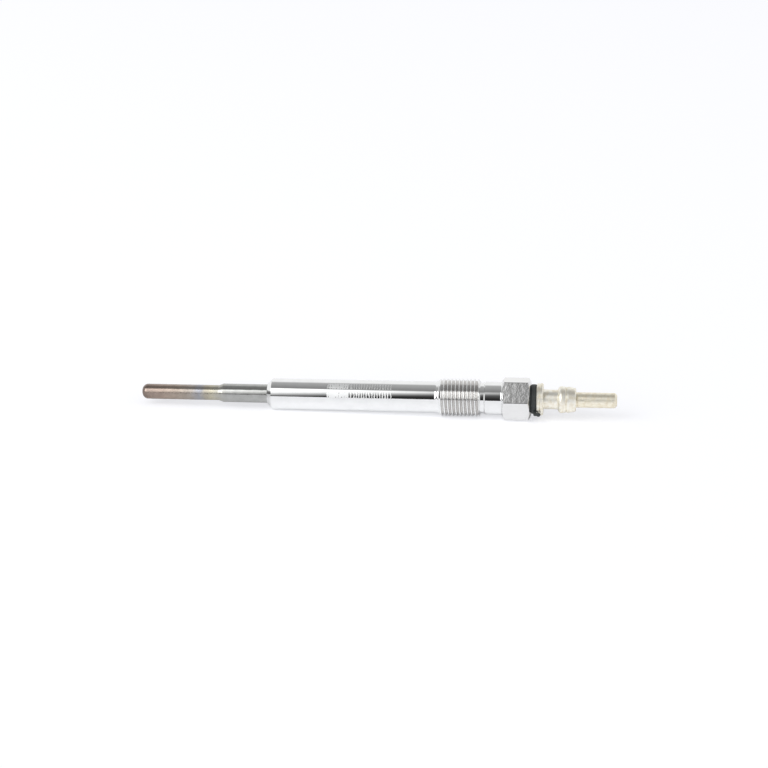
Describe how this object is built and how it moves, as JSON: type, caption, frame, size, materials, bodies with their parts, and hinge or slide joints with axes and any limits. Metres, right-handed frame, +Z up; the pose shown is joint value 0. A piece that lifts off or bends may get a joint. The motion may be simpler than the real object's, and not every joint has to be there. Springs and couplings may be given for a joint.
{
  "type": "diesel glow plug",
  "caption": "Diesel glow plug with a slim stepped heater sheath, long plated body with conical seat and thread, hexagon, black insulating washer and round push-on terminal.",
  "frame": {"origin": "on the floor under the middle of the plug, which lies as it comes to rest", "axes": "+X along the plug from the heater's nose to the terminal, +Z up, +Y away from the side the picture shows"},
  "size_m": [0.1254, 0.0114, 0.0106],
  "materials": {
    "plated_steel": "bright nickel plating on turned steel",
    "heater_alloy": "drawn nickel alloy with heat tint",
    "coil_wire": "drawn resistance wire",
    "packed_powder": "packed white powder",
    "seal_rubber": "matte moulded rubber",
    "ring_rubber": "matte moulded rubber",
    "rod_steel": "turned steel with pale yellow plating",
    "insulator_plastic": "filled black plastic, matte",
    "terminal_brass": "turned brass with pale plating"
  },
  "bodies": {
    "root": {"housing": "plated_steel", "sheath": "heater_alloy", "heating_coil": "coil_wire", "control_coil": "coil_wire", "powder_sleeve": "packed_powder", "powder_core": "packed_powder", "sheath_seal": "seal_rubber", "centre_rod": "rod_steel", "sealing_ring": "ring_rubber", "insulator": "insulator_plastic", "terminal_nut": "terminal_brass"}
  },
  "joints": []
}
